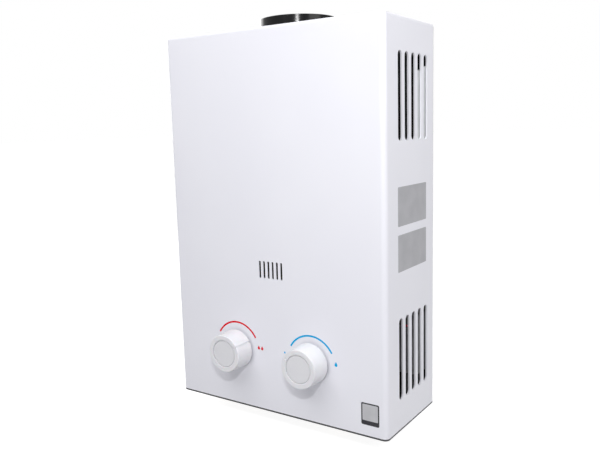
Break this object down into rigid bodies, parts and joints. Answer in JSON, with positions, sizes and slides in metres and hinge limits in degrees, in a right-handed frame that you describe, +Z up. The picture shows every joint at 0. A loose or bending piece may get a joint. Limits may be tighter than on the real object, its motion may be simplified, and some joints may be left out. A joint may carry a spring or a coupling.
{
  "type": "wall-hung gas water heater",
  "caption": "Flat steel case for a wall with a round flue collar on top, louvred sides, viewing slots, two turning knobs and threaded water and gas connections below.",
  "frame": {"origin": "on the wall plane, midway between the four wall holes", "axes": "X to the right as seen from the front, Y towards the wall, Z up"},
  "size_m": [0.292, 0.147, 0.477],
  "materials": {
    "white_enamel": "smooth baked enamel",
    "dark_sheet": "matt dark grey coat",
    "black_enamel": "glossy black enamel",
    "zinc_sheet": "zinc coated sheet",
    "copper": "bare copper",
    "brass": "machined brass",
    "cast_aluminium": "die cast",
    "steel": "plain steel",
    "mica": "thin clear sheet",
    "black_rubber": "soft rubber",
    "white_plastic": "moulded, half gloss",
    "cap_plastic": "moulded, satin",
    "black_plastic": "moulded, fine grain",
    "ceramic": "glazed white ceramic",
    "lead_sleeve": "red silicone sleeve",
    "cell_wrap": "plain film wrap"
  },
  "bodies": {
    "heater": {"front_cover": "white_enamel", "bottom_pan": "dark_sheet", "flue_collar": "black_enamel", "back_plate": "zinc_sheet", "draught_hood": "zinc_sheet", "chamber_brackets": "zinc_sheet", "burner_frame": "zinc_sheet", "gas_rail": "zinc_sheet", "switch_bracket": "zinc_sheet", "electrode_brackets": "zinc_sheet", "fire_chamber": "copper", "exchanger_fins": "copper", "exchanger_tubes": "copper", "chamber_coil": "copper", "cold_pipe": "copper", "hot_pipe": "copper", "water_valve_body": "brass", "diaphragm_cover": "brass", "injectors": "brass", "gas_nipple": "brass", "cold_nipple": "brass", "hot_nipple": "brass", "gas_valve_body": "cast_aluminium", "burner_bars": "steel", "gas_riser": "steel", "cover_screws": "steel", "diaphragm_screws": "steel", "return_spring": "steel", "valve_spring": "steel", "safety_solenoid": "steel", "cell_contacts": "steel", "sight_window": "mica", "diaphragm": "black_rubber", "battery_box": "black_plastic", "drain_plug": "black_plastic", "microswitch": "black_plastic", "overheat_switch": "black_plastic", "igniter_box": "black_plastic", "spark_electrode": "ceramic", "flame_electrode": "ceramic", "spark_lead": "lead_sleeve", "flame_lead": "lead_sleeve", "battery_lead": "lead_sleeve", "cells": "cell_wrap"},
    "gas_control": {"gas_knob": "white_plastic", "gas_knob_cap": "cap_plastic", "gas_spindle": "brass"},
    "water_control": {"water_knob": "white_plastic", "water_knob_cap": "cap_plastic", "water_spindle": "brass"},
    "linkage": {"push_rod": "steel", "diaphragm_plate": "steel", "gas_valve_disc": "black_rubber"},
    "switch_arm": {"switch_lever": "steel"},
    "battery_door": {"battery_lid": "black_plastic", "lid_contact": "steel"}
  },
  "joints": [
    {"name": "gas_knob_turn", "type": "hinge", "parent": "heater", "child": "gas_control", "pos_m": [-0.0523, -0.12, -0.149], "axis": [0, -1, 0], "range_deg": [0, 120]},
    {"name": "water_knob_turn", "type": "hinge", "parent": "heater", "child": "water_control", "pos_m": [0.0523, -0.12, -0.149], "axis": [0, -1, 0], "range_deg": [-120, 0]},
    {"name": "push_rod_slide", "type": "slide", "parent": "heater", "child": "linkage", "axis": [-1, 0, 0], "range_m": [0, 0.004], "stiffness_N_per_m": 400, "deforming": ["return_spring", "valve_spring", "diaphragm"]},
    {"name": "switch_lever_tilt", "type": "hinge", "parent": "heater", "child": "switch_arm", "pos_m": [-0.0086, -0.0585, -0.13], "axis": [0, 1, 0], "range_deg": [0, 22]},
    {"name": "battery_lid_open", "type": "hinge", "parent": "heater", "child": "battery_door", "pos_m": [0.0718, -0.0782, -0.2195], "axis": [1, 0, 0], "range_deg": [0, 95]}
  ],
  "couplings": [
    {"joint": "switch_lever_tilt", "follows": "push_rod_slide", "rad_per_m": 87.266}
  ]
}
